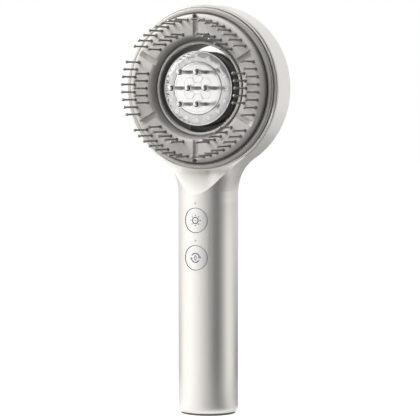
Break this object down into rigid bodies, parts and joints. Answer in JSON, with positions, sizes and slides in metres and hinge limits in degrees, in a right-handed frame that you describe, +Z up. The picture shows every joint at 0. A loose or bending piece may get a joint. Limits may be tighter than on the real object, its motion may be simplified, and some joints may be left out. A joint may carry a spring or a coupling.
{
  "type": "scalp massager",
  "caption": "Hand-held electric scalp massager: round handle with two buttons, ring head with removable bristle comb, floating centre with light ring and metal contacts",
  "frame": {"origin": "centre of the flat underside of the foot, on the handle's axis", "axes": "+Z up along the handle to the head, -Y front where the bristles point, +X to the right seen from the front"},
  "size_m": [0.0884, 0.0465, 0.2177],
  "materials": {
    "housing_paint": "satin champagne-silver paint on moulded plastic",
    "comb_grey": "warm grey moulded plastic",
    "pad_grey": "soft warm grey pad rubber",
    "bristle": "translucent dark grey soft bristle",
    "chrome": "polished metal",
    "lens_plate": "clear over silver, glossy",
    "black_rubber": "matt black rubber",
    "black_plastic": "matt black plastic",
    "button_metal": "satin metallic button",
    "clear_pipe": "frosted light pipe",
    "board_green": "solder-masked circuit board",
    "chip": "black component",
    "led": "white package with phosphor",
    "magnet": "nickel-plated magnet",
    "steel": "bright steel",
    "cell_wrap": "shrink-wrapped cell",
    "chassis": "dark moulded plastic",
    "ribbon": "amber flexible circuit",
    "mount_rubber": "soft grey damping rubber",
    "foot": "dark matt foot"
  },
  "bodies": {
    "housing": {"body_shell": "housing_paint", "front_bezel": "housing_paint", "housing_magnets": "magnet", "module_cup": "black_plastic", "module_bellows": "black_rubber", "rubber_mounts": "mount_rubber", "arm_screws": "steel", "module_ribbon": "ribbon", "button_gasket": "black_rubber", "tact_switches": "chip", "light_pipes": "clear_pipe", "indicator_leds": "led", "main_board": "board_green", "board_screws": "steel", "battery_cell": "cell_wrap", "battery_contacts": "steel", "battery_chassis": "chassis", "base_cap": "foot", "base_seal": "black_rubber", "usb_socket": "steel"},
    "comb_ring": {"comb_base": "comb_grey", "comb_pads": "pad_grey", "comb_studs": "bristle", "bristles_outer": "bristle", "bristles_inner": "bristle", "comb_magnets": "magnet"},
    "floating_head": {"head_frame": "black_plastic", "rim_trim": "chrome", "light_ring": "lens_plate", "ring_leds": "led", "led_board": "board_green", "contact_plate": "lens_plate", "contact_pins": "chrome", "motor_cradle": "chassis", "massage_motor": "steel"},
    "eccentric": {"motor_shaft": "steel", "eccentric_weight": "steel"},
    "light_key": {"light_button": "button_metal", "light_plunger": "chip"},
    "massage_key": {"massage_button": "button_metal", "massage_plunger": "chip"}
  },
  "joints": [
    {"name": "comb_pull_off", "type": "slide", "parent": "housing", "child": "comb_ring", "axis": [0, -1, 0], "range_m": [0, 0.025]},
    {"name": "head_press", "type": "slide", "parent": "housing", "child": "floating_head", "axis": [0, 1, 0], "range_m": [0, 0.0015], "stiffness_N_per_m": 1500, "springref_m": -0.0005, "deforming": ["module_bellows", "rubber_mounts"]},
    {"name": "motor_spin", "type": "hinge", "parent": "floating_head", "child": "eccentric", "pos_m": [0, -0.0042, 0.1735], "axis": [1, 0, 0], "continuous": true},
    {"name": "light_press", "type": "slide", "parent": "housing", "child": "light_key", "axis": [0, 1, 0], "range_m": [0, 0.0005], "stiffness_N_per_m": 3000, "springref_m": -0.0002},
    {"name": "massage_press", "type": "slide", "parent": "housing", "child": "massage_key", "axis": [0, 1, 0], "range_m": [0, 0.0005], "stiffness_N_per_m": 3000, "springref_m": -0.0002}
  ]
}
